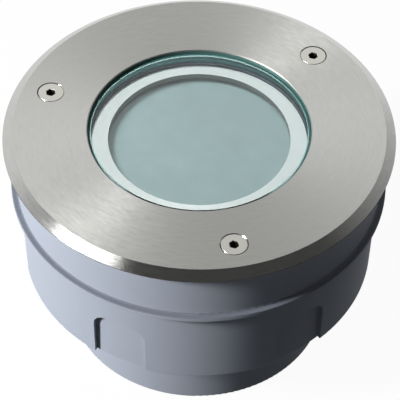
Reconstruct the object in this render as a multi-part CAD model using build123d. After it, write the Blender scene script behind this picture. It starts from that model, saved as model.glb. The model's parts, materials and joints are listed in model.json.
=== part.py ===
from build123d import *
import math
import os

# In ground well light with a round stainless cover ring. Millimetres.
# The light stands on its base, centred on the origin, and shines up along +Z.

# ---- heights of the casing stack, from the ground up
BASE_H = 42.0
DRUM_H = 44.6
COLLAR_H = 30.4
RING_T = 3.5

# ---- cover ring
RING_R = 90.0
RING_OPENING_R = 51.3
RING_BEVEL_W = 4.5
RING_BEVEL_H = 3.1
RING_SEAT_DEPTH = 0.5
RING_SEAT_GAP = 0.3
RIM_OVERHANG = 2.5
OPENING_EDGE = 0.4

# ---- cover screws: countersunk M6 with a hexagon socket
SCREW_COUNT = 3
SCREW_INSET = 12.35
SCREW_FIRST_ANGLE = 42.7
SCREW_R = 3.0
SCREW_LENGTH = 30.0
SCREW_HEAD_R = 6.0
SCREW_HEAD_RIM = 0.2
SCREW_HEAD_SINK = 0.15
SCREW_SOCKET_AF = 4.0
SCREW_SOCKET_DEPTH = 2.4
SCREW_TIP_CHAMFER = 0.7
SCREW_HOLE_GAP = 0.3
HEAD_SEAT_GAP = 0.05
INSERT_R = 4.0
INSERT_L = 9.0
INSERT_POCKET_DEPTH = 15.0
POCKET_GAP = 0.5
WASHER_R = 5.0
WASHER_T = 1.5

# ---- fits
THREAD_GAP = 0.05
RUNNING_GAP = 0.05
SEAT_GAP = 0.3
TIP_GAP = 0.6

# ---- glass and its two seals
GLASS_SINK = 1.6
GLASS_T = 8.0
GLASS_OPENING_GAP = 1.2
GLASS_OVERLAP = 5.7
GLASS_POCKET_GAP = 0.4
GLASS_ARRIS = 0.5
GLASS_SEAL_T = 1.2
GLASS_SEAL_LIP_H = 0.9
MAIN_SEAL_T = 1.5
MAIN_SEAL_W = 5.0
MAIN_SEAL_SETBACK = 0.9

# ---- upper casing
COLLAR_WALL = 3.8
LIP_W = 2.7
LIP_H = 2.5
LIP_ROUND = 0.5
LIP_CORNER_R = 0.8
DECK_T = 4.0
POCKET_WALL = 3.0
SEAT_T = 3.0
WELL_INSET = 1.0
WELL_WALL = 3.0
SHELF_W = 10.3
SHELF_T = 3.0
SHELF_BOSS_R = 4.5
SHELF_BOSS_L = 7.0
BOSS_R = 7.5
BOSS_FLOOR = 2.0
RIB_T = 4.0

# ---- bezel, diffuser and reflector
BEZEL_GLASS_GAP = 0.7
BEZEL_W = 7.9
BEZEL_LIP_L = 2.6
BEZEL_LIP_W = 1.6
BEZEL_FALL = 2.0
BEZEL_T = 1.8
BEZEL_SKIRT_W = 2.0
BEZEL_HOLD_INSET = 2.6
BEZEL_HOLD_W = 1.6
DIFFUSER_DROP = 5.0
DIFFUSER_T = 3.0
DIFFUSER_SIDE_GAP = 0.4
REFLECTOR_H = 21.7
REFLECTOR_RIM_W = 5.8
REFLECTOR_TAPER = 7.5
REFLECTOR_WALL = 1.5
REFLECTOR_SKIRT_W = 1.5
REFLECTOR_BOARD_GAP = 1.2
WELL_SIDE_GAP = 0.5

# ---- LED board and heat sink
PLATE_T = 4.0
FIN_H = 10.0
FIN_T = 2.0
FIN_PITCH = 7.0
FIN_COUNT = 11
FIN_CLEARANCE = 1.0
PAD_T = 0.5
BOARD_EDGE_GAP = 1.5
BOARD_T = 1.6
BOARD_SCREW_INSET = 6.5
BOARD_SCREW_FIRST_ANGLE = 30.0
LED_SIDE = 3.5
LED_T = 0.9
LED_CHIP_R = 1.3
LED_INNER_COUNT = 6
LED_OUTER_COUNT = 12
LED_ROW_PITCH = 9.0
LED_CONNECTOR_GAP = 2.25
WIRE_HOLE_INSET = 5.5
WIRE_HOLE_R = 4.5
CONNECTOR_SIZE = (9.0, 5.0, 5.0)
CONNECTOR_OFFSET = 7.5
MODULE_SCREW_INSET = 5.5
MODULE_SCREW_FIRST_ANGLE = 90.0

# ---- small screws: thread radius, head radius, head height, length under the head
M3_SCREW = (1.5, 2.75, 2.0, 6.0)
M4_SCREW = (2.0, 3.5, 3.0, 10.0)
M4_LONG_SCREW = (2.0, 3.5, 3.0, 16.0)
M5_BOLT = (2.5, 4.25, 5.0, 45.0)
SOCKET_DEPTH_SHARE = 0.6
SOCKET_WIDTH_SHARE = 1.6

# ---- lower casing
DRUM_STEP = 0.8
DRUM_TAPER = 1.0
DRUM_WALL = 5.0
DRUM_FLOOR_T = 4.5
DRUM_EDGE_ROUND = 0.8
RECESS_COUNT = 6
RECESS_FIRST_ANGLE = 5.0
RECESS_W = 26.0
RECESS_H = 28.5
RECESS_CORNER_R = 8.0
RECESS_DEPTH = 2.0
BOLT_ANGLE_OFFSET = 60.0
BOLT_COLUMN_R = 7.0
BOLT_HOLE_GAP = 0.25
BOLT_SINK = 0.4
BOLT_INSERT_R = 3.5
BOLT_INSERT_L = 9.0
CASING_SEAL_INSET = 1.8
CASING_SEAL_W = 1.4
CASING_SEAL_T = 1.5
GROOVE_GAP = 0.1

# ---- driver, grommet and wires
DRIVER_SIZE = (62.0, 42.0, 18.0)
DRIVER_Y = -12.0
DRIVER_ROUND = 2.0
DRIVER_EAR_W = 7.0
DRIVER_EAR_DEPTH = 12.0
DRIVER_EAR_T = 3.0
GROMMET_X = -20.0
GROMMET_Y = 22.0
GROMMET_HOLE_R = 7.0
GROMMET_FLANGE_R = 9.0
GROMMET_FLANGE_T = 1.5
GROMMET_BORE_R = 4.5
MAINS_WIRE_R = 1.1
MAINS_WIRE_PITCH = 2.8
MAINS_WIRE_COUNT = 3
MAINS_WIRE_BEND_R = 6.0
DRIVER_INPUT_Z = 7.0
LED_WIRE_R = 0.8
LED_WIRE_PITCH = 3.0
LED_WIRE_COUNT = 2
LED_WIRE_BEND_R = 3.0
DRIVER_OUTPUT_Z = 9.0

# ---- base cup and terminal block
BASE_TOP_R = 64.0
BASE_TAPER = 1.5
BASE_WALL = 5.5
BASE_FLOOR_T = 4.0
BASE_EDGE_ROUND = 1.0
BASE_SEAL_INSET = 3.0
BASE_SEAL_W = 2.0
BASE_SEAL_T = 1.5
BASE_POST_COUNT = 4
BASE_POST_FIRST_ANGLE = 45.0
BASE_POST_INSET = 4.5
BASE_POST_R = 5.0
TERMINAL_SIZE = (30.0, 18.0, 20.0)
TERMINAL_Y = -10.0
TERMINAL_EAR_W = 7.0
TERMINAL_EAR_T = 2.5
TERMINAL_POLE_PITCH = 9.0
TERMINAL_WELL_R = 2.4
TERMINAL_WELL_DEPTH = 6.0
TERMINAL_CLAMP_R = 2.0
TERMINAL_CLAMP_H = 3.0
TERMINAL_SLOT_W = 0.8
TERMINAL_SLOT_DEPTH = 1.0
TERMINAL_WIRE_Z = 11.0
TERMINAL_SCREW = (1.5, 2.75, 2.0, 5.0)

# ---- cable gland, M20, pointing out of the base cup's back wall
GLAND_Z = 22.0
GLAND_PAD_OUT = 2.5
GLAND_PAD_IN = 2.5
GLAND_PAD_R = 15.0
GLAND_THREAD_R = 10.0
GLAND_NECK_R = 9.6
GLAND_BORE_R = 7.2
GLAND_HEX_AF = 24.0
GLAND_HEX_T = 6.0
GLAND_NECK_L = 7.5
GLAND_TAIL_L = 17.0
GLAND_WASHER_T = 1.5
GLAND_WASHER_R = 13.0
GLAND_NUT_AF = 26.0
GLAND_NUT_T = 5.0
GLAND_INSERT_BORE_R = 5.2
GLAND_INSERT_L = 14.5
GLAND_INSERT_FLANGE_R = 8.6
GLAND_INSERT_FLANGE_T = 2.5
GLAND_INSERT_GAP = 0.1
DOME_AF = 24.0
DOME_HEX_T = 8.0
DOME_TOP_R = 8.5
DOME_TOP_T = 1.3
DOME_EXIT_R = 6.2
DOME_GAP = 0.6

# ---- levels worked out from the sizes above
Z_BASE_FLOOR = BASE_FLOOR_T
Z_BASE_TOP = BASE_H
Z_DRUM_FLOOR = Z_BASE_TOP + DRUM_FLOOR_T
Z_DRUM_TOP = Z_BASE_TOP + DRUM_H
Z_COLLAR_TOP = Z_DRUM_TOP + COLLAR_H
Z_RIM_SEAT = Z_COLLAR_TOP - RING_SEAT_DEPTH
Z_TOP = Z_RIM_SEAT + RING_T
Z_GLASS_TOP = Z_TOP - GLASS_SINK
Z_GLASS_BOTTOM = Z_GLASS_TOP - GLASS_T
Z_GLASS_FLANGE = Z_COLLAR_TOP - GLASS_SEAL_T
Z_SEAT = Z_GLASS_BOTTOM - MAIN_SEAL_T
Z_BEZEL_LIP = Z_GLASS_BOTTOM - BEZEL_GLASS_GAP
Z_DIFFUSER_TOP = Z_BEZEL_LIP - DIFFUSER_DROP
Z_DIFFUSER_BOTTOM = Z_DIFFUSER_TOP - DIFFUSER_T
Z_PLATE_TOP = Z_DIFFUSER_BOTTOM - REFLECTOR_H
Z_SHELF_TOP = Z_PLATE_TOP - PLATE_T
Z_PAD_TOP = Z_PLATE_TOP + PAD_T
Z_BOARD_TOP = Z_PAD_TOP + BOARD_T
Z_SCREW_TOP = Z_TOP - SCREW_HEAD_SINK
Z_SCREW_TIP = Z_SCREW_TOP - SCREW_LENGTH
Z_INSERT_TOP = Z_COLLAR_TOP - INSERT_POCKET_DEPTH
Z_BOSS_BOTTOM = Z_SCREW_TIP - TIP_GAP - BOSS_FLOOR
Z_BOLT_HEAD = Z_COLLAR_TOP - BOLT_SINK - M5_BOLT[2]
Z_BOLT_TIP = Z_BOLT_HEAD - M5_BOLT[3]

# ---- radii of the casings, from the ring's rim inwards
LIP_R = RING_R - RIM_OVERHANG
COLLAR_R = LIP_R - LIP_W
COLLAR_INNER_R = COLLAR_R - COLLAR_WALL
SCREW_CIRCLE_R = COLLAR_R - SCREW_INSET
DRUM_TOP_R = COLLAR_R - DRUM_STEP
DRUM_BOTTOM_R = DRUM_TOP_R - DRUM_TAPER
DRUM_INNER_R = DRUM_TOP_R - DRUM_WALL
RECESS_FLOOR_R = DRUM_BOTTOM_R - RECESS_DEPTH
CASING_SEAL_R = DRUM_TOP_R - CASING_SEAL_INSET
BASE_BOTTOM_R = BASE_TOP_R - BASE_TAPER
BASE_INNER_R = BASE_TOP_R - BASE_WALL
BASE_SEAL_R = BASE_TOP_R - BASE_SEAL_INSET
BASE_POST_CIRCLE_R = BASE_INNER_R - BASE_POST_INSET
GLAND_FACE_Y = BASE_TOP_R + GLAND_PAD_OUT
GLAND_PAD_T = GLAND_FACE_Y - BASE_INNER_R + GLAND_PAD_IN

# ---- radii of the glass, the well and the lamp module, from the ring's opening inwards
GLASS_BOSS_R = RING_OPENING_R - GLASS_OPENING_GAP
GLASS_FLANGE_R = RING_OPENING_R + GLASS_OVERLAP
GLASS_POCKET_R = GLASS_FLANGE_R + GLASS_POCKET_GAP
WELL_R = RING_OPENING_R - WELL_INSET
WELL_OUTER_R = WELL_R + WELL_WALL
SHELF_R = WELL_R - SHELF_W
MODULE_R = WELL_R - WELL_SIDE_GAP
BEZEL_OPENING_R = MODULE_R - BEZEL_W
BEZEL_HOLD_R = BEZEL_OPENING_R + BEZEL_HOLD_INSET
REFLECTOR_TOP_R = MODULE_R - REFLECTOR_RIM_W
REFLECTOR_BOTTOM_R = REFLECTOR_TOP_R - REFLECTOR_TAPER
BOARD_R = SHELF_R - BOARD_EDGE_GAP
BOARD_SCREW_CIRCLE_R = BOARD_R - BOARD_SCREW_INSET
MODULE_SCREW_CIRCLE_R = MODULE_R - MODULE_SCREW_INSET
WIRE_HOLE_Y = BOARD_R - WIRE_HOLE_INSET
CONNECTOR_Y = WIRE_HOLE_Y - CONNECTOR_OFFSET
LED_OUTER_CIRCLE_R = CONNECTOR_Y - CONNECTOR_SIZE[1] / 2 - LED_CONNECTOR_GAP - LED_SIDE / 2
LED_INNER_CIRCLE_R = LED_OUTER_CIRCLE_R - LED_ROW_PITCH
OVERSHOOT = 1.0
SAME_PLACE = 0.001

BOTTOM = (Align.CENTER, Align.CENTER, Align.MIN)


def turned(*profile):
    """Solid of revolution about the Z axis from (radius, height) corners."""
    return revolve(make_face(Plane.XZ * Polyline(*profile, close=True)), Axis.Z)


def rod(radius, low, high):
    return Pos(0, 0, low) * Cylinder(radius, high - low, align=BOTTOM)


def ring(inner, outer, low, high):
    return rod(outer, low, high) - rod(inner, low - OVERSHOOT, high + OVERSHOOT)


def block(size, centre_x, centre_y, low):
    return Pos(centre_x, centre_y, low) * Box(*size, align=BOTTOM)


def hexagon(across_flats, low, high):
    outline = RegularPolygon(across_flats / 2, 6, major_radius=False)
    return extrude(Pos(0, 0, low) * outline, high - low)


def circle_places(radius, count, first_angle):
    """Places on a circle about the Z axis, each turned to face outwards."""
    return [Rot(0, 0, first_angle + 360 * i / count) * Pos(radius, 0, 0) for i in range(count)]


def circular_edges(part, radius, height):
    """The part's full round edges of one radius at one height."""
    found = ShapeList()
    for edge in part.edges().filter_by(GeomType.CIRCLE):
        centre = edge.arc_center
        on_axis = math.hypot(centre.X, centre.Y) < SAME_PLACE
        if on_axis and abs(edge.radius - radius) < SAME_PLACE and abs(centre.Z - height) < SAME_PLACE:
            found.append(edge)
    return found


def socket_screw(size, seat_z):
    """Pan head screw with a hexagon socket; its head rests at seat_z and its thread points down."""
    thread_r, head_r, head_h, length = size
    body = rod(head_r, seat_z, seat_z + head_h) + rod(thread_r, seat_z - length, seat_z)
    depth = head_h * SOCKET_DEPTH_SHARE
    return body - hexagon(thread_r * SOCKET_WIDTH_SHARE, seat_z + head_h - depth, seat_z + head_h + OVERSHOOT)


def thread_hole(size, seat_z, clearance=THREAD_GAP):
    """Room for the thread of a screw whose head rests at seat_z."""
    return rod(size[0] + clearance, seat_z - size[3] - SEAT_GAP, seat_z + OVERSHOOT)


cover_places = circle_places(SCREW_CIRCLE_R, SCREW_COUNT, SCREW_FIRST_ANGLE)
bolt_places = circle_places(SCREW_CIRCLE_R, SCREW_COUNT, SCREW_FIRST_ANGLE + BOLT_ANGLE_OFFSET)
module_places = circle_places(MODULE_SCREW_CIRCLE_R, SCREW_COUNT, MODULE_SCREW_FIRST_ANGLE)
board_places = circle_places(BOARD_SCREW_CIRCLE_R, SCREW_COUNT, BOARD_SCREW_FIRST_ANGLE)
post_places = circle_places(BASE_POST_CIRCLE_R, BASE_POST_COUNT, BASE_POST_FIRST_ANGLE)
recess_places = circle_places(0, RECESS_COUNT, RECESS_FIRST_ANGLE)


# ---------------------------------------------------------------- cover


def make_cover_ring():
    """Turned ring whose underside has a shallow recess that centres it on the casing."""
    seat_r = COLLAR_R + RING_SEAT_GAP
    body = turned(
        (RING_OPENING_R, Z_COLLAR_TOP),
        (seat_r, Z_COLLAR_TOP),
        (seat_r, Z_RIM_SEAT),
        (RING_R, Z_RIM_SEAT),
        (RING_R, Z_TOP - RING_BEVEL_H),
        (RING_R - RING_BEVEL_W, Z_TOP),
        (RING_OPENING_R + OPENING_EDGE, Z_TOP),
        (RING_OPENING_R, Z_TOP - OPENING_EDGE),
    )
    hole_r = SCREW_R + SCREW_HOLE_GAP
    sink_r = SCREW_HEAD_R + SCREW_HEAD_SINK + SCREW_HEAD_RIM + HEAD_SEAT_GAP
    hole = rod(hole_r, Z_COLLAR_TOP - OVERSHOOT, Z_TOP)
    sink = turned(
        (0, Z_TOP - sink_r),
        (sink_r + OVERSHOOT, Z_TOP + OVERSHOOT),
        (0, Z_TOP + OVERSHOOT),
    )
    for place in cover_places:
        body -= place * (hole + sink)
    return body


def make_cover_screw():
    cone_top = Z_SCREW_TOP - SCREW_HEAD_RIM
    cone_bottom = cone_top - (SCREW_HEAD_R - SCREW_R)
    body = turned(
        (0, Z_SCREW_TIP),
        (SCREW_R - SCREW_TIP_CHAMFER, Z_SCREW_TIP),
        (SCREW_R, Z_SCREW_TIP + SCREW_TIP_CHAMFER),
        (SCREW_R, cone_bottom),
        (SCREW_HEAD_R, cone_top),
        (SCREW_HEAD_R, Z_SCREW_TOP),
        (0, Z_SCREW_TOP),
    )
    socket = hexagon(SCREW_SOCKET_AF, Z_SCREW_TOP - SCREW_SOCKET_DEPTH, Z_SCREW_TOP + OVERSHOOT)
    return body - socket


def make_captive_washer():
    low = Z_INSERT_TOP + SEAT_GAP
    return ring(SCREW_R + RUNNING_GAP, WASHER_R, low, low + WASHER_T)


def make_glass():
    return turned(
        (0, Z_GLASS_BOTTOM),
        (GLASS_FLANGE_R - GLASS_ARRIS, Z_GLASS_BOTTOM),
        (GLASS_FLANGE_R, Z_GLASS_BOTTOM + GLASS_ARRIS),
        (GLASS_FLANGE_R, Z_GLASS_FLANGE),
        (GLASS_BOSS_R, Z_GLASS_FLANGE),
        (GLASS_BOSS_R, Z_GLASS_TOP - GLASS_ARRIS),
        (GLASS_BOSS_R - GLASS_ARRIS, Z_GLASS_TOP),
        (0, Z_GLASS_TOP),
    )


def make_glass_seal():
    """Black bonding seal: flat under the ring, with a lip up the gap round the glass."""
    inner = GLASS_BOSS_R + SEAT_GAP
    lip_outer = RING_OPENING_R - SEAT_GAP
    return turned(
        (inner, Z_GLASS_FLANGE),
        (GLASS_FLANGE_R, Z_GLASS_FLANGE),
        (GLASS_FLANGE_R, Z_COLLAR_TOP),
        (lip_outer, Z_COLLAR_TOP),
        (lip_outer, Z_COLLAR_TOP + GLASS_SEAL_LIP_H),
        (inner, Z_COLLAR_TOP + GLASS_SEAL_LIP_H),
    )


# ---------------------------------------------------------------- upper casing


def make_upper_casing():
    lip_top = Z_DRUM_TOP + LIP_H
    deck_low = Z_COLLAR_TOP - DECK_T
    seat_low = Z_SEAT - SEAT_T
    shelf_low = Z_SHELF_TOP - SHELF_T
    pocket_outer = GLASS_POCKET_R + POCKET_WALL
    body = turned(
        (WELL_R, Z_SEAT),
        (GLASS_POCKET_R, Z_SEAT),
        (GLASS_POCKET_R, Z_COLLAR_TOP),
        (COLLAR_R, Z_COLLAR_TOP),
        (COLLAR_R, lip_top),
        (LIP_R, lip_top),
        (LIP_R, Z_DRUM_TOP),
        (COLLAR_INNER_R, Z_DRUM_TOP),
        (COLLAR_INNER_R, deck_low),
        (pocket_outer, deck_low),
        (pocket_outer, seat_low),
        (WELL_OUTER_R, seat_low),
        (WELL_OUTER_R, shelf_low),
        (SHELF_R, shelf_low),
        (SHELF_R, Z_SHELF_TOP),
        (WELL_R, Z_SHELF_TOP),
    )
    body = fillet(circular_edges(body, LIP_R, Z_DRUM_TOP), LIP_ROUND)
    body = fillet(circular_edges(body, LIP_R, lip_top), LIP_ROUND)
    body = fillet(circular_edges(body, COLLAR_R, lip_top), LIP_CORNER_R)
    rib_inner = WELL_R + WELL_WALL / 2
    rib_outer = COLLAR_INNER_R + COLLAR_WALL / 2
    rib_length = rib_outer - rib_inner
    rib_x = (rib_inner + rib_outer) / 2 - SCREW_CIRCLE_R
    boss_rib = block((rib_length, RIB_T, deck_low - Z_BOSS_BOTTOM), rib_x, 0, Z_BOSS_BOTTOM)
    column_rib = block((rib_length, RIB_T, deck_low - Z_DRUM_TOP), rib_x, 0, Z_DRUM_TOP)
    for place in cover_places:
        body += place * (rod(BOSS_R, Z_BOSS_BOTTOM, deck_low) + boss_rib)
    for place in bolt_places:
        body += place * (rod(BOLT_COLUMN_R, Z_DRUM_TOP, deck_low) + column_rib)
    for place in module_places:
        body += place * rod(SHELF_BOSS_R, Z_SHELF_TOP - SHELF_BOSS_L, shelf_low)
    body -= rod(GLASS_POCKET_R, Z_SEAT, Z_COLLAR_TOP + OVERSHOOT)
    pocket = rod(WASHER_R + POCKET_GAP, Z_INSERT_TOP, Z_COLLAR_TOP + OVERSHOOT)
    insert_hole = rod(INSERT_R + THREAD_GAP, Z_INSERT_TOP - INSERT_L, Z_INSERT_TOP)
    tip_hole = rod(SCREW_R + SCREW_HOLE_GAP, Z_SCREW_TIP - TIP_GAP, Z_INSERT_TOP)
    for place in cover_places:
        body -= place * (pocket + insert_hole + tip_hole)
    head_hole = rod(M5_BOLT[1] + BOLT_HOLE_GAP, Z_BOLT_HEAD, Z_COLLAR_TOP + OVERSHOOT)
    shank_hole = rod(M5_BOLT[0] + BOLT_HOLE_GAP, Z_DRUM_TOP - OVERSHOOT, Z_BOLT_HEAD)
    for place in bolt_places:
        body -= place * (head_hole + shank_hole)
    for place in module_places:
        body -= place * thread_hole(M4_SCREW, Z_PLATE_TOP)
    return body


def make_screw_inserts():
    insert = ring(SCREW_R + THREAD_GAP, INSERT_R, Z_INSERT_TOP - INSERT_L, Z_INSERT_TOP)
    return [place * insert for place in cover_places]


def make_main_seal():
    inner = WELL_R + MAIN_SEAL_SETBACK
    return ring(inner, inner + MAIN_SEAL_W, Z_SEAT, Z_GLASS_BOTTOM)


# ---------------------------------------------------------------- optical parts


def make_bezel_ring():
    """White ring that slopes gently down and out from its opening, over a deep outer skirt."""
    outer = MODULE_R
    z_outer = Z_BEZEL_LIP - BEZEL_FALL
    slope = BEZEL_FALL / (outer - BEZEL_OPENING_R)
    lip_outer = BEZEL_OPENING_R + BEZEL_LIP_W
    hold_outer = BEZEL_HOLD_R + BEZEL_HOLD_W
    skirt_inner = outer - BEZEL_SKIRT_W

    def underside(radius):
        return Z_BEZEL_LIP - BEZEL_T - slope * (radius - BEZEL_OPENING_R)

    return turned(
        (BEZEL_OPENING_R, Z_BEZEL_LIP),
        (outer, z_outer),
        (outer, Z_DIFFUSER_BOTTOM),
        (skirt_inner, Z_DIFFUSER_BOTTOM),
        (skirt_inner, underside(skirt_inner)),
        (hold_outer, underside(hold_outer)),
        (hold_outer, Z_DIFFUSER_TOP),
        (BEZEL_HOLD_R, Z_DIFFUSER_TOP),
        (BEZEL_HOLD_R, underside(BEZEL_HOLD_R)),
        (lip_outer, underside(lip_outer)),
        (lip_outer, Z_BEZEL_LIP - BEZEL_LIP_L),
        (BEZEL_OPENING_R, Z_BEZEL_LIP - BEZEL_LIP_L),
    )


def make_diffuser():
    radius = MODULE_R - BEZEL_SKIRT_W - DIFFUSER_SIDE_GAP
    return rod(radius, Z_DIFFUSER_BOTTOM, Z_DIFFUSER_TOP)


def make_reflector():
    rim_low = Z_DIFFUSER_BOTTOM - REFLECTOR_WALL
    foot = Z_BOARD_TOP + REFLECTOR_BOARD_GAP
    return turned(
        (REFLECTOR_BOTTOM_R, foot),
        (REFLECTOR_TOP_R, Z_DIFFUSER_BOTTOM),
        (MODULE_R, Z_DIFFUSER_BOTTOM),
        (MODULE_R, Z_PLATE_TOP),
        (MODULE_R - REFLECTOR_SKIRT_W, Z_PLATE_TOP),
        (MODULE_R - REFLECTOR_SKIRT_W, rim_low),
        (REFLECTOR_TOP_R + REFLECTOR_WALL, rim_low),
        (REFLECTOR_BOTTOM_R + REFLECTOR_WALL, foot),
    )


def wire_hole(low, high):
    return Pos(0, WIRE_HOLE_Y, 0) * rod(WIRE_HOLE_R, low, high)


def make_heat_sink():
    body = rod(MODULE_R, Z_SHELF_TOP, Z_PLATE_TOP)
    fin_low = Z_SHELF_TOP - FIN_H
    reach = SHELF_R - FIN_CLEARANCE
    fins = []
    for i in range(FIN_COUNT):
        y = (i - (FIN_COUNT - 1) / 2) * FIN_PITCH
        fins.append(block((2 * reach, FIN_T, FIN_H), 0, y, fin_low))
    body += [rod(reach, fin_low, Z_SHELF_TOP) & fin for fin in fins]
    body -= wire_hole(fin_low - OVERSHOOT, Z_PLATE_TOP + OVERSHOOT)
    for place in module_places:
        body -= place * rod(M4_SCREW[0] + BOLT_HOLE_GAP, fin_low, Z_PLATE_TOP + OVERSHOOT)
    for place in board_places:
        body -= place * thread_hole(M3_SCREW, Z_BOARD_TOP)
    return body


def board_disc(low, high):
    body = rod(BOARD_R, low, high) - wire_hole(low - OVERSHOOT, high + OVERSHOOT)
    for place in board_places:
        body -= place * rod(M3_SCREW[0] + BOLT_HOLE_GAP, low - OVERSHOOT, high + OVERSHOOT)
    return body


def make_thermal_pad():
    return board_disc(Z_PLATE_TOP, Z_PAD_TOP)


def make_led_board():
    return board_disc(Z_PAD_TOP, Z_BOARD_TOP)


def make_leds():
    package = block((LED_SIDE, LED_SIDE, LED_T), 0, 0, Z_BOARD_TOP)
    window = rod(LED_CHIP_R, Z_BOARD_TOP + LED_T / 2, Z_BOARD_TOP + LED_T + OVERSHOOT)
    led = package - window
    places = [Pos(0, 0, 0)]
    places += circle_places(LED_INNER_CIRCLE_R, LED_INNER_COUNT, 0)
    places += circle_places(LED_OUTER_CIRCLE_R, LED_OUTER_COUNT, 0)
    return [place * led for place in places]


def make_led_connector():
    return block(CONNECTOR_SIZE, 0, CONNECTOR_Y, Z_BOARD_TOP)


# ---------------------------------------------------------------- lower casing


def grip_recess_tool():
    """Arched pocket, open downwards, outside the recess floor's radius."""
    tall = RECESS_H + RECESS_CORNER_R + OVERSHOOT
    mid_z = Z_BASE_TOP + RECESS_H - tall / 2
    face = Plane(origin=(0, 0, mid_z), x_dir=(0, 1, 0), z_dir=(1, 0, 0))
    arch = extrude(face * RectangleRounded(RECESS_W, tall, RECESS_CORNER_R), DRUM_TOP_R + OVERSHOOT)
    return arch - rod(RECESS_FLOOR_R, mid_z - tall, mid_z + tall)


def make_lower_casing():
    body = turned(
        (0, Z_BASE_TOP),
        (DRUM_BOTTOM_R, Z_BASE_TOP),
        (DRUM_TOP_R, Z_DRUM_TOP),
        (DRUM_INNER_R, Z_DRUM_TOP),
        (DRUM_INNER_R, Z_DRUM_FLOOR),
        (0, Z_DRUM_FLOOR),
    )
    body = fillet(circular_edges(body, DRUM_BOTTOM_R, Z_BASE_TOP), DRUM_EDGE_ROUND)
    recess = grip_recess_tool()
    for place in recess_places:
        body -= place * recess
    for place in bolt_places:
        body += place * rod(BOLT_COLUMN_R, Z_DRUM_FLOOR, Z_DRUM_TOP)
    insert_hole = rod(BOLT_INSERT_R + THREAD_GAP, Z_DRUM_TOP - BOLT_INSERT_L, Z_DRUM_TOP + OVERSHOOT)
    tip_hole = rod(M5_BOLT[0] + BOLT_HOLE_GAP, Z_BOLT_TIP - TIP_GAP, Z_DRUM_TOP)
    for place in bolt_places:
        body -= place * (insert_hole + tip_hole)
    groove_half = CASING_SEAL_W / 2 + GROOVE_GAP
    body -= ring(
        CASING_SEAL_R - groove_half,
        CASING_SEAL_R + groove_half,
        Z_DRUM_TOP - CASING_SEAL_T,
        Z_DRUM_TOP + OVERSHOOT,
    )
    hole_low = Z_BASE_TOP - OVERSHOOT
    hole_high = Z_DRUM_FLOOR + OVERSHOOT
    body -= Pos(GROMMET_X, GROMMET_Y, 0) * rod(GROMMET_HOLE_R, hole_low, hole_high)
    for place in post_places:
        body -= place * rod(M4_SCREW[0] + BOLT_HOLE_GAP, hole_low, hole_high)
    for place in driver_screw_places():
        body -= place * thread_hole(M3_SCREW, Z_DRUM_FLOOR + DRIVER_EAR_T)
    return body


def make_casing_seal():
    half = CASING_SEAL_W / 2
    return ring(CASING_SEAL_R - half, CASING_SEAL_R + half, Z_DRUM_TOP - CASING_SEAL_T, Z_DRUM_TOP)


def make_casing_bolts():
    return [place * socket_screw(M5_BOLT, Z_BOLT_HEAD) for place in bolt_places]


def make_bolt_inserts():
    insert = ring(M5_BOLT[0] + THREAD_GAP, BOLT_INSERT_R, Z_DRUM_TOP - BOLT_INSERT_L, Z_DRUM_TOP)
    return [place * insert for place in bolt_places]


def make_grommet():
    neck = rod(GROMMET_HOLE_R - GROOVE_GAP, Z_BASE_TOP, Z_DRUM_FLOOR)
    top = rod(GROMMET_FLANGE_R, Z_DRUM_FLOOR, Z_DRUM_FLOOR + GROMMET_FLANGE_T)
    under = rod(GROMMET_FLANGE_R, Z_BASE_TOP - GROMMET_FLANGE_T, Z_BASE_TOP)
    bore = rod(GROMMET_BORE_R, Z_BASE_TOP - BASE_H, Z_DRUM_TOP)
    return Pos(GROMMET_X, GROMMET_Y, 0) * (neck + top + under - bore)


def driver_screw_places():
    reach = DRIVER_SIZE[0] / 2 + DRIVER_EAR_W / 2
    return [Pos(side * reach, DRIVER_Y, 0) for side in (-1, 1)]


def make_driver():
    box = block(DRIVER_SIZE, 0, DRIVER_Y, Z_DRUM_FLOOR)
    box = fillet(box.edges().filter_by(Axis.Z), DRIVER_ROUND)
    ear_size = (DRIVER_SIZE[0] + 2 * DRIVER_EAR_W, DRIVER_EAR_DEPTH, DRIVER_EAR_T)
    box += block(ear_size, 0, DRIVER_Y, Z_DRUM_FLOOR)
    hole = rod(M3_SCREW[0] + BOLT_HOLE_GAP, Z_DRUM_FLOOR - OVERSHOOT, Z_DRUM_FLOOR + DRIVER_SIZE[2])
    for place in driver_screw_places():
        box -= place * hole
    return box


def wire(points, radius, bend_r):
    path = FilletPolyline(*points, radius=bend_r)
    start = Plane(origin=path @ 0, z_dir=path % 0)
    return sweep(start * Circle(radius), path=path)


def spread(count, pitch):
    return [(i - (count - 1) / 2) * pitch for i in range(count)]


def make_mains_wires():
    start_y = TERMINAL_Y + TERMINAL_SIZE[1] / 2
    start_z = Z_BASE_FLOOR + TERMINAL_WIRE_Z
    end_y = DRIVER_Y + DRIVER_SIZE[1] / 2
    end_z = Z_DRUM_FLOOR + DRIVER_INPUT_Z
    wires = []
    for offset in spread(MAINS_WIRE_COUNT, MAINS_WIRE_PITCH):
        x = GROMMET_X + offset
        route = [(x, start_y, start_z), (x, GROMMET_Y, start_z), (x, GROMMET_Y, end_z), (x, end_y, end_z)]
        wires.append(wire(route, MAINS_WIRE_R, MAINS_WIRE_BEND_R))
    return wires


def make_led_wires():
    start_y = DRIVER_Y + DRIVER_SIZE[1] / 2
    start_z = Z_DRUM_FLOOR + DRIVER_OUTPUT_Z
    end_y = CONNECTOR_Y + CONNECTOR_SIZE[1] / 2
    end_z = Z_BOARD_TOP + CONNECTOR_SIZE[2] / 2
    wires = []
    for x in spread(LED_WIRE_COUNT, LED_WIRE_PITCH):
        route = [(x, start_y, start_z), (x, WIRE_HOLE_Y, start_z), (x, WIRE_HOLE_Y, end_z), (x, end_y, end_z)]
        wires.append(wire(route, LED_WIRE_R, LED_WIRE_BEND_R))
    return wires


# ---------------------------------------------------------------- base cup


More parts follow.
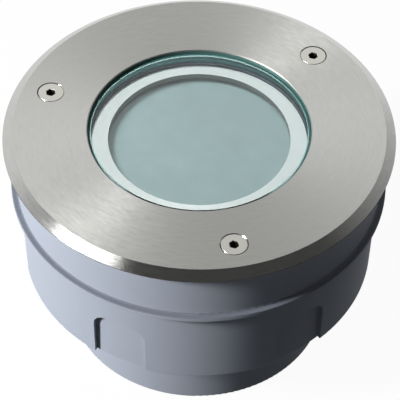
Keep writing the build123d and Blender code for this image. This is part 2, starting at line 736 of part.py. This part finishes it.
def make_base_cup():
    body = turned(
        (0, 0),
        (BASE_BOTTOM_R, 0),
        (BASE_TOP_R, Z_BASE_TOP),
        (BASE_INNER_R, Z_BASE_TOP),
        (BASE_INNER_R, Z_BASE_FLOOR),
        (0, Z_BASE_FLOOR),
    )
    body = fillet(circular_edges(body, BASE_BOTTOM_R, 0), BASE_EDGE_ROUND)
    for place in post_places:
        body += place * rod(BASE_POST_R, Z_BASE_FLOOR, Z_BASE_TOP)
    body += at_gland(rod(GLAND_PAD_R, -GLAND_PAD_T, 0))
    body -= at_gland(rod(GLAND_THREAD_R + THREAD_GAP, -GLAND_PAD_T - OVERSHOOT, OVERSHOOT))
    for place in post_places:
        body -= place * thread_hole(M4_LONG_SCREW, Z_DRUM_FLOOR)
    half = BASE_SEAL_W / 2 + GROOVE_GAP
    body -= ring(BASE_SEAL_R - half, BASE_SEAL_R + half, Z_BASE_TOP - BASE_SEAL_T, Z_BASE_TOP + OVERSHOOT)
    for place in terminal_screw_places():
        body -= place * thread_hole(TERMINAL_SCREW, Z_BASE_FLOOR + TERMINAL_EAR_T)
    return body


def make_base_seal():
    half = BASE_SEAL_W / 2
    return ring(BASE_SEAL_R - half, BASE_SEAL_R + half, Z_BASE_TOP - BASE_SEAL_T, Z_BASE_TOP)


def terminal_screw_places():
    reach = TERMINAL_SIZE[0] / 2 + TERMINAL_EAR_W / 2
    return [Pos(GROMMET_X + side * reach, TERMINAL_Y, 0) for side in (-1, 1)]


def make_terminal_block():
    top = Z_BASE_FLOOR + TERMINAL_SIZE[2]
    body = block(TERMINAL_SIZE, GROMMET_X, TERMINAL_Y, Z_BASE_FLOOR)
    ear_size = (TERMINAL_SIZE[0] + 2 * TERMINAL_EAR_W, TERMINAL_SIZE[1], TERMINAL_EAR_T)
    body += block(ear_size, GROMMET_X, TERMINAL_Y, Z_BASE_FLOOR)
    for offset in spread(MAINS_WIRE_COUNT, TERMINAL_POLE_PITCH):
        well = rod(TERMINAL_WELL_R, top - TERMINAL_WELL_DEPTH, top + OVERSHOOT)
        body -= Pos(GROMMET_X + offset, TERMINAL_Y, 0) * well
    for place in terminal_screw_places():
        ear_hole = rod(TERMINAL_SCREW[0] + BOLT_HOLE_GAP, Z_BASE_FLOOR - OVERSHOOT, top)
        body -= place * ear_hole
    return body


def make_terminal_screws():
    """Three clamp screws in their wells and two fixing screws in the ears."""
    top = Z_BASE_FLOOR + TERMINAL_SIZE[2]
    low = top - TERMINAL_WELL_DEPTH
    slot_size = (2 * TERMINAL_WELL_R, TERMINAL_SLOT_W, TERMINAL_SLOT_DEPTH)
    slot = block(slot_size, 0, 0, low + TERMINAL_CLAMP_H - TERMINAL_SLOT_DEPTH)
    clamp = rod(TERMINAL_CLAMP_R, low, low + TERMINAL_CLAMP_H) - slot
    screws = [
        Pos(GROMMET_X + offset, TERMINAL_Y, 0) * clamp
        for offset in spread(MAINS_WIRE_COUNT, TERMINAL_POLE_PITCH)
    ]
    seat = Z_BASE_FLOOR + TERMINAL_EAR_T
    screws += [place * socket_screw(TERMINAL_SCREW, seat) for place in terminal_screw_places()]
    return screws


# ---------------------------------------------------------------- cable gland


def at_gland(part):
    """Turns a part made along +Z to point out of the base cup's back wall."""
    return Pos(0, GLAND_FACE_Y, GLAND_Z) * Rot(-90, 0, 0) * part


def make_gland_washer():
    return at_gland(ring(GLAND_THREAD_R + GROOVE_GAP, GLAND_WASHER_R, 0, GLAND_WASHER_T))


def make_gland_body():
    hex_top = GLAND_WASHER_T + GLAND_HEX_T
    body = rod(GLAND_THREAD_R, -GLAND_TAIL_L, GLAND_WASHER_T)
    body += hexagon(GLAND_HEX_AF, GLAND_WASHER_T, hex_top)
    body += rod(GLAND_NECK_R, hex_top, hex_top + GLAND_NECK_L)
    body -= rod(GLAND_BORE_R, -GLAND_TAIL_L - OVERSHOOT, hex_top + GLAND_NECK_L + OVERSHOOT)
    return at_gland(body)


def make_gland_locknut():
    low = -GLAND_PAD_T - GLAND_NUT_T
    body = hexagon(GLAND_NUT_AF, low, -GLAND_PAD_T)
    return at_gland(body - rod(GLAND_THREAD_R + THREAD_GAP, low - OVERSHOOT, OVERSHOOT))


def gland_insert_levels():
    seat = GLAND_WASHER_T + GLAND_HEX_T + GLAND_NECK_L
    top = seat + GLAND_INSERT_FLANGE_T
    return top - GLAND_INSERT_L, seat, top


def make_gland_insert():
    low, seat, top = gland_insert_levels()
    body = rod(GLAND_BORE_R - GLAND_INSERT_GAP, low, seat) + rod(GLAND_INSERT_FLANGE_R, seat, top)
    return at_gland(body - rod(GLAND_INSERT_BORE_R, low - OVERSHOOT, top + OVERSHOOT))


def make_gland_nut():
    seat, top = gland_insert_levels()[1:]
    low = GLAND_WASHER_T + GLAND_HEX_T + DOME_GAP
    cone_low = top + SEAT_GAP
    dome_top = cone_low + GLAND_INSERT_FLANGE_T + DOME_TOP_T
    outer = DOME_AF / math.sqrt(3) + OVERSHOOT
    envelope = turned(
        (0, low),
        (outer, low),
        (outer, low + DOME_HEX_T),
        (DOME_TOP_R, dome_top),
        (0, dome_top),
    )
    thread_r = GLAND_NECK_R + THREAD_GAP
    cavity = turned(
        (0, low - OVERSHOOT),
        (thread_r, low - OVERSHOOT),
        (thread_r, cone_low),
        (DOME_EXIT_R, dome_top - DOME_TOP_T),
        (DOME_EXIT_R, dome_top + OVERSHOOT),
        (0, dome_top + OVERSHOOT),
    )
    return at_gland((hexagon(DOME_AF, low, dome_top) & envelope) - cavity)


# ---------------------------------------------------------------- the assembly


def make_nodes():
    nodes = {
        "cover_ring": make_cover_ring(),
        "glass_seal": make_glass_seal(),
        "glass": make_glass(),
        "main_seal": make_main_seal(),
        "upper_casing": make_upper_casing(),
        "screw_inserts": make_screw_inserts(),
        "bezel_ring": make_bezel_ring(),
        "diffuser": make_diffuser(),
        "reflector": make_reflector(),
        "leds": make_leds(),
        "led_board": make_led_board(),
        "led_connector": make_led_connector(),
        "board_screws": [place * socket_screw(M3_SCREW, Z_BOARD_TOP) for place in board_places],
        "thermal_pad": make_thermal_pad(),
        "heat_sink": make_heat_sink(),
        "module_screws": [place * socket_screw(M4_SCREW, Z_PLATE_TOP) for place in module_places],
        "casing_seal": make_casing_seal(),
        "casing_bolts": make_casing_bolts(),
        "bolt_inserts": make_bolt_inserts(),
        "lower_casing": make_lower_casing(),
        "driver": make_driver(),
        "driver_screws": [
            place * socket_screw(M3_SCREW, Z_DRUM_FLOOR + DRIVER_EAR_T) for place in driver_screw_places()
        ],
        "led_wires": make_led_wires(),
        "mains_wires": make_mains_wires(),
        "grommet": make_grommet(),
        "base_seal": make_base_seal(),
        "base_screws": [place * socket_screw(M4_LONG_SCREW, Z_DRUM_FLOOR) for place in post_places],
        "base_cup": make_base_cup(),
        "terminal_block": make_terminal_block(),
        "terminal_screws": make_terminal_screws(),
        "gland_washer": make_gland_washer(),
        "gland_body": make_gland_body(),
        "gland_locknut": make_gland_locknut(),
        "gland_insert": make_gland_insert(),
        "gland_nut": make_gland_nut(),
    }
    for i, place in enumerate(cover_places):
        nodes[f"cover_screw_{i + 1}"] = place * make_cover_screw()
        nodes[f"captive_washer_{i + 1}"] = place * make_captive_washer()
    return nodes


def main():
    os.makedirs("parts", exist_ok=True)
    for name, shape in make_nodes().items():
        solids = shape if isinstance(shape, list) else [shape]
        node = Compound(children=[solid for item in solids for solid in item.solids()])
        node.label = name
        export_step(node, f"parts/{name}.step")


main()
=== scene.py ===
import json
import math

import bpy
from mathutils import Matrix, Vector


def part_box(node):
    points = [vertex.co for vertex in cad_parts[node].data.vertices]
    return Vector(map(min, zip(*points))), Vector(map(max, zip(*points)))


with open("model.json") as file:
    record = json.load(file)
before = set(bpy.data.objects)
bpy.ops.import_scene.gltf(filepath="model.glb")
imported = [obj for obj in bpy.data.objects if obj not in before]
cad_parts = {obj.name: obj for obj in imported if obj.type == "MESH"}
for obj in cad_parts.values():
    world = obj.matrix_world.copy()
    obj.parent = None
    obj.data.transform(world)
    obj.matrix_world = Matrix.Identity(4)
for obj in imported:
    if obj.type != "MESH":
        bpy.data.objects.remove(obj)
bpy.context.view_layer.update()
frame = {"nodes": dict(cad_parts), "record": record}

MM = 0.001


# ---------------------------------------------------------------- finishes


class Amount:
    """A value or colour that varies over a surface; arithmetic on it adds Math nodes."""

    def __init__(self, finish, socket):
        self.finish = finish
        self.socket = socket

    def _math(self, operation, *values):
        return self.finish.node("ShaderNodeMath", {"operation": operation}, dict(enumerate(values)))

    def __add__(self, other):
        return self._math("ADD", self, other)

    __radd__ = __add__

    def __sub__(self, other):
        return self._math("SUBTRACT", self, other)

    def __rsub__(self, other):
        return self._math("SUBTRACT", other, self)

    def __mul__(self, other):
        return self._math("MULTIPLY", self, other)

    __rmul__ = __mul__

    def __truediv__(self, other):
        return self._math("DIVIDE", self, other)

    def __gt__(self, other):
        return self._math("GREATER_THAN", self, other)

    def __lt__(self, other):
        return self._math("LESS_THAN", self, other)

    def root(self):
        return self._math("SQRT", self)

    def size(self):
        return self._math("ABSOLUTE", self)

    def between(self, low, high):
        """1 between low and high, 0 elsewhere."""
        return (self > low) * (self < high)

    def clipped(self):
        """Held between 0 and 1."""
        return self.finish.node("ShaderNodeClamp", {}, {"Value": self})

    def eased(self, low, high):
        """0 below low, 1 above high, smooth between."""
        return self.finish.node(
            "ShaderNodeMapRange",
            {"interpolation_type": "SMOOTHSTEP"},
            {"Value": self, "From Min": low, "From Max": high, "To Min": 0.0, "To Max": 1.0},
        )


class Finish:
    """The emptied node tree of one material or world, with one method that adds any node."""

    def __init__(self, owner):
        owner.use_nodes = True
        self.owner = owner
        self.tree = owner.node_tree
        self.tree.nodes.clear()

    def node(self, kind, settings=None, inputs=None, output=0):
        """Add a node of this kind: its settings first, then its values and links."""
        node = self.tree.nodes.new(kind)
        for name, value in (settings or {}).items():
            setattr(node, name, value)
        for name, value in (inputs or {}).items():
            if isinstance(value, Amount):
                self.tree.links.new(value.socket, node.inputs[name])
            else:
                node.inputs[name].default_value = value
        if node.outputs:
            return Amount(self, node.outputs[output])
        return None

    def parts(self, coordinate):
        """The three parts of a texture coordinate."""
        whole = self.node("ShaderNodeTexCoord", output=coordinate)
        return [self.node("ShaderNodeSeparateXYZ", {}, {0: whole}, axis) for axis in range(3)]

    def place(self):
        """The piece's own coordinates in metres, one amount each."""
        return self.parts("Object")

    def facing_up(self):
        """1 where the surface faces up, 0 where it is upright, -1 where it faces down."""
        return self.parts("Normal")[2]

    def radius(self):
        """Distance from the part's upright axis."""
        x, y, _ = self.place()
        return (x * x + y * y).root()

    def point(self, x, y, z):
        return self.node("ShaderNodeCombineXYZ", {}, {0: x, 1: y, 2: z})

    def noise(self, grain, detail=2.0, at=None, roughness=0.5):
        """Soft random pattern; grain is the number of grains in a metre."""
        inputs = {"Scale": grain, "Detail": detail, "Roughness": roughness}
        inputs["Vector"] = at or self.node("ShaderNodeTexCoord", output="Object")
        return self.node("ShaderNodeTexNoise", {}, inputs)

    def blend(self, amount, first, second):
        """Colour that goes from first to second with amount."""
        return self.node("ShaderNodeMix", {"data_type": "RGBA"}, {0: amount, 6: first, 7: second}, 2)

    def tint(self, colour, amount):
        """The colour, made darker and lighter by amount, which is about 1."""
        settings = {"data_type": "RGBA", "blend_type": "MULTIPLY"}
        scale = self.point(amount, amount, amount)
        return self.node("ShaderNodeMix", settings, {0: 1.0, 6: colour, 7: scale}, 2)

    def bump(self, height, depth):
        return self.node("ShaderNodeBump", {}, {"Height": height, "Distance": depth, "Strength": 1.0})

    def surface(self, **sockets):
        inputs = {name.replace("_", " "): value for name, value in sockets.items()}
        return self.node("ShaderNodeBsdfPrincipled", {}, inputs)

    def matt(self, colour):
        return self.node("ShaderNodeBsdfDiffuse", {}, {"Color": colour})

    def see_through(self, colour):
        return self.node("ShaderNodeBsdfTransparent", {}, {"Color": colour})

    def mixed(self, amount, first, second):
        """Shader that goes from first to second with amount."""
        return self.node("ShaderNodeMixShader", {}, {0: amount, 1: first, 2: second})

    def ray(self, kind):
        """1 for rays of this kind, 0 for others."""
        return self.node("ShaderNodeLightPath", output="Is " + kind + " Ray")

    def done(self, shader, kind="ShaderNodeOutputMaterial"):
        """End the tree with this shader; gives back the material or world."""
        self.node(kind, {}, {"Surface": shader})
        return self.owner


def new_finish(name):
    return Finish(bpy.data.materials.new(name))


def rgb(red, green, blue):
    return (red, green, blue, 1.0)


# Surfaces of the cover ring, told apart by their distance from its axis and by how much they face up.
RIM_EDGE_R = 89.8 * MM  # the narrow upright rim is outside this
OPENING_R = 52.2 * MM  # the wall and the chamfer of the opening are inside this
COUNTERSINKS_R = (70.8 * MM, 84.6 * MM)  # the outer sides of the countersinks are between these
FACE_UP = (0.9, 0.97)  # the bevel and the countersinks face up by less than this, the flat face by more


def turned_steel():
    """Stainless steel turned on a lathe: fine grooves round the ring's axis, broken into strokes.

    The rim's narrow upright edge and the countersinks are dull, and their near-black colour is painted
    shade.
    Off the flat face the steel is darker, which is painted shade. The opening's wall is dark green: a
    painted reflection of the glass edge, and painted shade.
    """
    finish = new_finish("turned_steel")
    x, y, _ = finish.place()
    radius = (x * x + y * y).root()

    def grooves(outwards, around, detail, roughness):
        """Noise drawn out round the axis; outwards counts its grains to a metre."""
        at = finish.point(radius * outwards, x / radius * around, y / radius * around)
        return finish.noise(1.0, detail, at, roughness)

    strokes = grooves(2600, 7, 3.0, 0.6)
    streaks = grooves(750, 13, 3.0, 0.6)
    lines = grooves(900, 0.8, 2.0, 0.5)
    cloud = finish.noise(38, 3.0)

    up = finish.facing_up()
    face = up.eased(*FACE_UP)
    not_flat = up < FACE_UP[0]
    upright = up.size() < 0.5
    # Painted shade: the countersinks round the screws and the narrow upright rim get a near-black
    # colour; they are also rougher.
    dull_and_painted_shade = radius.between(*COUNTERSINKS_R) * not_flat + upright * (radius > RIM_EDGE_R)
    opening_wall = upright * (radius < OPENING_R)
    opening_edge = (1.0 - face) * (radius < OPENING_R)

    # Painted shade: off the flat face (bevel, walls) the same steel has a darker colour than on the
    # face.
    colour = finish.blend(face, rgb(0.57, 0.57, 0.555), rgb(0.70, 0.70, 0.67))
    colour = finish.blend(dull_and_painted_shade, colour, rgb(0.09, 0.085, 0.08))
    # The opening's wall is painted dark green: a painted reflection of the glass edge, and painted
    # shade.
    colour = finish.blend(opening_wall, colour, rgb(0.06, 0.14, 0.125))
    shade = 0.79 + strokes * 0.11 + streaks * 0.22 + lines * 0.03 + cloud * 0.09
    polish = 0.075 + face * 0.175 + dull_and_painted_shade * 0.7 + opening_edge * 0.4
    wear = strokes * 0.08 + streaks * 0.15 + cloud * 0.05
    return finish.done(finish.surface(
        Base_Color=finish.tint(colour, shade),
        Metallic=1.0 - opening_wall * 0.8,
        Roughness=polish + wear,
        Anisotropic=0.75,
        Anisotropic_Rotation=0.25,
        Normal=finish.bump(strokes * 3.0 + lines * 0.5 + streaks * 12.0, 0.004 * MM),
    ))


def plain_metal(name, colour, roughness):
    """Metal with a fine grain and faint clouds."""
    finish = new_finish(name)
    cloud = finish.noise(300, 3.0)
    grain = finish.noise(4000)
    return finish.done(finish.surface(
        Base_Color=finish.tint(colour, 0.9 + cloud * 0.2),
        Metallic=1.0,
        Roughness=roughness + cloud * 0.1,
        Normal=finish.bump(grain, 0.004 * MM),
    ))


SOCKET_DEPTHS = (2.6 * MM, 0.3 * MM)  # the hexagon sockets' part with painted shade, below the top of the heads


def screw_steel():
    """Bright cold-formed steel; the bottom of the cover screws' hexagon sockets is painted near black,
    which is painted shade.
    """
    finish = new_finish("screw_steel")
    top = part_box("cover_screw_1")[1].z
    deepest, highest = SOCKET_DEPTHS
    z = finish.place()[2]
    not_under_the_head = finish.facing_up() > -0.3
    socket = z.between(top - deepest, top - highest) * not_under_the_head
    cloud = finish.noise(300, 3.0)
    grain = finish.noise(4000)
    # Painted shade: near black deep in the hexagon sockets.
    colour = finish.blend(socket, rgb(0.80, 0.79, 0.73), rgb(0.07, 0.062, 0.045))
    return finish.done(finish.surface(
        Base_Color=finish.tint(colour, 0.92 + cloud * 0.14),
        Metallic=1.0,
        Roughness=0.26 + cloud * 0.08 + socket * 0.4,
        Normal=finish.bump(grain, 0.004 * MM),
    ))


def plastic(finish, colour, roughness, grain, depth, mottle, shine=0.5):
    """Injection moulded plastic: an even fine texture, faint clouds from the flow of the melt."""
    cloud = finish.noise(22, 3.0)
    flow = finish.noise(130)
    texture = finish.noise(grain)
    return finish.done(finish.surface(
        Base_Color=finish.tint(colour, 1.0 - mottle + cloud * mottle + flow * mottle),
        Roughness=roughness + flow * 0.06 + texture * 0.04,
        Specular_IOR_Level=shine,
        Normal=finish.bump(texture, depth),
    ))


# The small flat step round the foot of the collar lies outside this radius and between these heights.
LEDGE_INNER_R = 84.6 * MM
LEDGE_HEIGHTS = (88.6 * MM, 89.85 * MM)


def casing_grey():
    """Grey moulded plastic; the small ledge round the foot of the collar is painted darker, which is
    painted shade.
    """
    finish = new_finish("casing_grey")
    z = finish.place()[2]
    at_ledge = (finish.radius() > LEDGE_INNER_R) * z.between(*LEDGE_HEIGHTS)
    # Painted shade: the upward-facing ledge at the collar's foot gets a darker colour.
    painted_ledge_shade = at_ledge * (finish.facing_up() > 0.25)
    colour = finish.blend(painted_ledge_shade, rgb(0.343, 0.374, 0.437), rgb(0.165, 0.18, 0.215))
    return plastic(finish, colour, 0.58, 2200, 0.006 * MM, 0.05, 0.12)


def seal_rubber():
    """Black silicone; where the two seals hold the glass they are painted teal, a painted colour cast of
    the green glass edge.
    """
    finish = new_finish("seal_rubber")
    at_glass = finish.place()[2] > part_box("main_seal")[0].z - MM
    grain = finish.noise(1800)
    cloud = finish.noise(130)
    # Painted light: teal on the seals at the glass stands for the green cast of light through the glass
    # edge.
    colour = finish.blend(at_glass, rgb(0.03, 0.031, 0.032), rgb(0.07, 0.19, 0.19))
    return finish.done(finish.surface(
        Base_Color=finish.tint(colour, 0.94 + cloud * 0.12),
        Roughness=0.62 + cloud * 0.1,
        Normal=finish.bump(grain, 0.01 * MM),
    ))


FLAT_FACE = 0.95  # the glass's flat faces look up or down by more than this, its side and arris less
GLASS_IOR = 1.5
SLANTS = (0.15, 0.55)  # least light is lost below the first, most above the second


def lamp_glass():
    """Clear toughened glass; its side and arris are ground, so they are greener and a little frosted.

    Shadow and diffuse rays go through its flat faces, with most lost at a slant.
    """
    finish = new_finish("lamp_glass")
    side = finish.facing_up().size() < FLAT_FACE
    haze = finish.noise(60)
    clear = finish.surface(
        Base_Color=rgb(0.965, 0.995, 0.99),
        Roughness=haze * 0.01,
        Transmission_Weight=1.0,
        IOR=GLASS_IOR,
    )
    grinding = finish.noise(900, 3.0)
    ground = finish.node(
        "ShaderNodeBsdfGlass",
        {},
        {"Color": rgb(0.54, 0.77, 0.75), "Roughness": 0.05 + grinding * 0.1, "IOR": GLASS_IOR},
    )
    slant = finish.node("ShaderNodeLayerWeight", output="Facing").eased(*SLANTS)
    straight_way = finish.see_through(rgb(0.95, 0.97, 0.965))
    slanted_way = finish.see_through(rgb(0.12, 0.125, 0.125))
    light = (finish.ray("Shadow") + finish.ray("Diffuse")).clipped() * (1.0 - side)
    body = finish.mixed(side, clear, ground)
    return finish.done(finish.mixed(light, body, finish.mixed(slant, straight_way, slanted_way)))


def bezel_white():
    """Painted white on top; the wall of its opening is given a dark grey, which is painted shade."""
    finish = new_finish("bezel_white")
    upright = finish.facing_up().size() < 0.5
    wall = upright * (finish.radius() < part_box("diffuser")[1].x)
    grain = finish.noise(3000)
    cloud = finish.noise(22, 3.0)
    # Painted shade: the upright wall of the bezel's opening is dark grey.
    colour = finish.blend(wall, rgb(0.86, 0.91, 0.905), rgb(0.26, 0.28, 0.275))
    return finish.done(finish.surface(
        Base_Color=finish.tint(colour, 0.97 + cloud * 0.04),
        Roughness=0.45 + grain * 0.04,
        Normal=finish.bump(grain, 0.003 * MM),
    ))


# The wires side by side along x: three for the mains at the left, two for the LED board in the middle.
MAINS_SIDE_X = -10.0 * MM
MAINS_GAPS_X = (-21.4 * MM, -18.6 * MM)
LED_GAP_X = 0.0


def wire_insulation():
    """Coloured insulation; each conductor has its own colour, told apart by its place."""
    finish = new_finish("wire_insulation")
    x = finish.place()[0]
    brown = rgb(0.10, 0.035, 0.015)
    blue = rgb(0.02, 0.08, 0.32)
    yellow = rgb(0.45, 0.42, 0.03)
    black = rgb(0.02, 0.02, 0.02)
    red = rgb(0.42, 0.02, 0.015)
    first_gap, second_gap = MAINS_GAPS_X
    mains_colour = finish.blend(x > second_gap, finish.blend(x > first_gap, brown, blue), yellow)
    led_colour = finish.blend(x > LED_GAP_X, black, red)
    grain = finish.noise(900)
    return finish.done(finish.surface(
        Base_Color=finish.blend(x < MAINS_SIDE_X, led_colour, mains_colour),
        Roughness=0.38 + grain * 0.1,
        Normal=finish.bump(grain, 0.01 * MM),
    ))


LED_WINDOW_H = 0.6 * MM  # above the board: the window is lower than this, the package's rim higher


def led_package():
    """White package with a yellow phosphor window on its top."""
    finish = new_finish("led_package")
    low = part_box("leds")[0].z
    window = (finish.facing_up() > 0.5) * (finish.place()[2] < low + LED_WINDOW_H)
    grain = finish.noise(6000)
    colour = finish.blend(window, rgb(0.82, 0.80, 0.74), rgb(0.80, 0.55, 0.05))
    return finish.done(finish.surface(
        Base_Color=finish.tint(colour, 0.95 + grain * 0.1),
        Roughness=0.35 + grain * 0.1,
        Normal=finish.bump(grain, 0.002 * MM),
    ))


# Colour and roughness.
METALS = {
    "heat_sink_metal": (rgb(0.58, 0.58, 0.59), 0.42),
    "insert_brass": (rgb(0.66, 0.46, 0.17), 0.3),
}

# Colour, roughness, grains to a metre, depth of the texture, strength of the clouds.
PLASTICS = {
    "opal_plastic": (rgb(0.29, 0.39, 0.40), 0.5, 3000, 0.002 * MM, 0.2),
    "reflector_white": (rgb(0.82, 0.82, 0.81), 0.2, 2500, 0.002 * MM, 0.03),
    "board_white": (rgb(0.78, 0.78, 0.75), 0.3, 5000, 0.003 * MM, 0.04),
    "pad_grey": (rgb(0.22, 0.24, 0.27), 0.7, 1500, 0.01 * MM, 0.06),
    "driver_black": (rgb(0.03, 0.03, 0.032), 0.5, 1500, 0.02 * MM, 0.06),
    "terminal_grey": (rgb(0.58, 0.58, 0.55), 0.35, 2500, 0.005 * MM, 0.06),
    "gland_black": (rgb(0.025, 0.025, 0.028), 0.4, 2500, 0.008 * MM, 0.06),
}


def make_finishes():
    """One material for each slot of the record."""
    finishes = {
        "turned_steel": turned_steel(),
        "screw_steel": screw_steel(),
        "lamp_glass": lamp_glass(),
        "seal_rubber": seal_rubber(),
        "bezel_white": bezel_white(),
        "casing_grey": casing_grey(),
        "wire_insulation": wire_insulation(),
        "led_package": led_package(),
    }
    for name, values in METALS.items():
        finishes[name] = plain_metal(name, *values)
    for name, values in PLASTICS.items():
        finishes[name] = plastic(new_finish(name), *values)
    return finishes


# ---------------------------------------------------------------- pieces

SAME_POINT = 0.002 * MM
SCREW_EDGE_CHAMFER = 0.19 * MM
SCREW_EDGE_ANGLE = math.radians(50)


def ease_edges(piece):
    """Small chamfers on the sharp edges, once the points that faces share are joined."""
    piece.modifiers.new("joined_faces", "WELD").merge_threshold = SAME_POINT
    eased = piece.modifiers.new("eased_edges", "BEVEL")
    eased.width = SCREW_EDGE_CHAMFER
    eased.angle_limit = SCREW_EDGE_ANGLE


def dress_pieces():
    """Give every piece the finish that the record names, and the cover screws their chamfers."""
    finishes = make_finishes()
    slot_of = {part["node"]: part["material_slot"] for part in frame["record"]["subparts"]}
    for name, piece in frame["nodes"].items():
        piece.data.materials.clear()
        piece.data.materials.append(finishes[slot_of[name]])
        if name.startswith("cover_screw"):
            ease_edges(piece)


# ---------------------------------------------------------------- studio

FLOOR_SIDE = 12
FLOOR_Z = -0.2 * MM  # just under the base, so that the two faces don't coincide
FLOOR_WHITE_SHARE = 0.95  # the rest of the floor's look is paper, which takes the shadow


def make_floor():
    """Plain pale floor that keeps the shadow but looks white, also in metal and glass."""
    bpy.ops.mesh.primitive_plane_add(size=FLOOR_SIDE, location=(0, 0, FLOOR_Z))
    floor = bpy.context.object
    floor.name = "floor"
    finish = new_finish("pale_floor")
    white = finish.node("ShaderNodeEmission", {}, {"Color": rgb(1, 1, 1), "Strength": 1.0})
    pale = finish.mixed(FLOOR_WHITE_SHARE, finish.matt(rgb(0.8, 0.8, 0.8)), white)
    dim = finish.matt(rgb(0.03, 0.033, 0.036))
    seen = finish.ray("Camera") + finish.ray("Glossy") + finish.ray("Transmission")
    floor.data.materials.append(finish.done(finish.mixed(seen.clipped(), dim, pale)))


# The room's light in a direction (x right, y away, z up, each -1 to 1) runs from DARK to PALE.
DARK = 0.07
PALE = 0.93
MIDDLE = 0.40
MORE_BEHIND = 0.74
MORE_AT_LEFT = 0.40
OVERHEAD_Z = 0.715
LESS_OVERHEAD = 5.0
HIGH_LEFT_XZ = 0.25
LESS_HIGH_LEFT = 1.5


def make_world():
    """Studio room: brightest behind and at the left, dark above and in front; white to the camera."""
    finish = Finish(bpy.data.worlds.new("studio"))

    def backdrop(strength):
        return finish.node("ShaderNodeBackground", {}, {"Color": rgb(1, 1, 1), "Strength": strength})

    x, y, z = finish.parts("Generated")
    overhead = (z - OVERHEAD_Z).clipped()
    high_left = (0.0 - x * z - HIGH_LEFT_XZ).clipped()
    level = MIDDLE + y * MORE_BEHIND - x * MORE_AT_LEFT
    level = (level - overhead * LESS_OVERHEAD - high_left * LESS_HIGH_LEFT).clipped()
    room = finish.mixed(level, backdrop(DARK), backdrop(PALE))
    sky = finish.mixed(finish.ray("Camera"), room, backdrop(1.0))
    bpy.context.scene.world = finish.done(sky, "ShaderNodeOutputWorld")


# Name, place, the point it faces, width, height, watts, and the pieces that it lights (none: all).
# In the well the light is even and leaves no highlight on the steel, so small lamps light single pieces.
LAMPS = (
    ("key", (-1.11, -0.45, 0.73), (0, 0, 0.10), 0.20, 0.36, 29.0, ()),
    ("strip", (-0.65, -0.36, 1.05), (0, 0, 0.12), 0.27, 0.20, 0.68, ("cover_ring",)),
    ("bezel_light", (-0.06, 0.09, 0.72), (0, 0, 0.12), 0.03, 0.03, 3.15, ("bezel_ring",)),
    ("disc_light", (-0.45, 0.06, 0.72), (0, 0, 0.11), 0.34, 0.34, 6.4, ("diffuser",)),
    ("disc_fill", (0.0, 0.0, 0.82), (0, 0, 0.11), 0.20, 0.20, 1.3, ("diffuser",)),
    ("seal_light", (0.05, -0.14, 0.60), (0, 0, 0.11), 0.30, 0.30, 3.0, ("main_seal",)),
)


def make_softbox(name, place, aim, width, height, watts, lit_nodes):
    """Rectangular soft lamp; with lit_nodes, light linking keeps its light off all other nodes."""
    lamp = bpy.data.lights.new(name, "AREA")
    lamp.shape = "RECTANGLE"
    lamp.size = width
    lamp.size_y = height
    lamp.energy = watts
    holder = bpy.data.objects.new(name, lamp)
    bpy.context.scene.collection.objects.link(holder)
    holder.location = place
    holder.rotation_euler = (Vector(aim) - Vector(place)).to_track_quat("-Z", "Y").to_euler()
    if lit_nodes:
        lit = bpy.data.collections.new(name + "_lit")
        for node in lit_nodes:
            lit.objects.link(frame["nodes"][node])
        holder.light_linking.receiver_collection = lit


# ---------------------------------------------------------------- camera

CAMERA_PLACE = (0, -0.6808, 0.8110)
LOOKING_DOWN = math.radians(47.38)
TURNED_RIGHT = math.radians(0.07)
TILTED = math.radians(0.97)
LENS = 190.97
SENSOR_WIDTH = 36
FARTHEST = 50


def make_camera():
    """The photograph's camera: about 47 degrees above the ring, long lens, almost level."""
    level = Vector((math.sin(TURNED_RIGHT), math.cos(TURNED_RIGHT), 0))
    ahead = level * math.cos(LOOKING_DOWN) - Vector((0, 0, math.sin(LOOKING_DOWN)))
    right = ahead.cross(Vector((0, 0, 1))).normalized()
    up = right.cross(ahead)
    tilted_right = math.cos(TILTED) * right + math.sin(TILTED) * up
    tilted_up = math.cos(TILTED) * up - math.sin(TILTED) * right
    camera = bpy.data.cameras.new("camera")
    camera.lens = LENS
    camera.sensor_width = SENSOR_WIDTH
    camera.clip_end = FARTHEST
    holder = bpy.data.objects.new("camera", camera)
    turn = Matrix((tilted_right, tilted_up, -ahead)).transposed()
    holder.matrix_world = Matrix.Translation(CAMERA_PLACE) @ turn.to_4x4()
    bpy.context.scene.collection.objects.link(holder)
    bpy.context.scene.camera = holder


dress_pieces()
make_floor()
make_world()
for lamp_values in LAMPS:
    make_softbox(*lamp_values)
make_camera()
bpy.context.scene.view_settings.view_transform = "Standard"
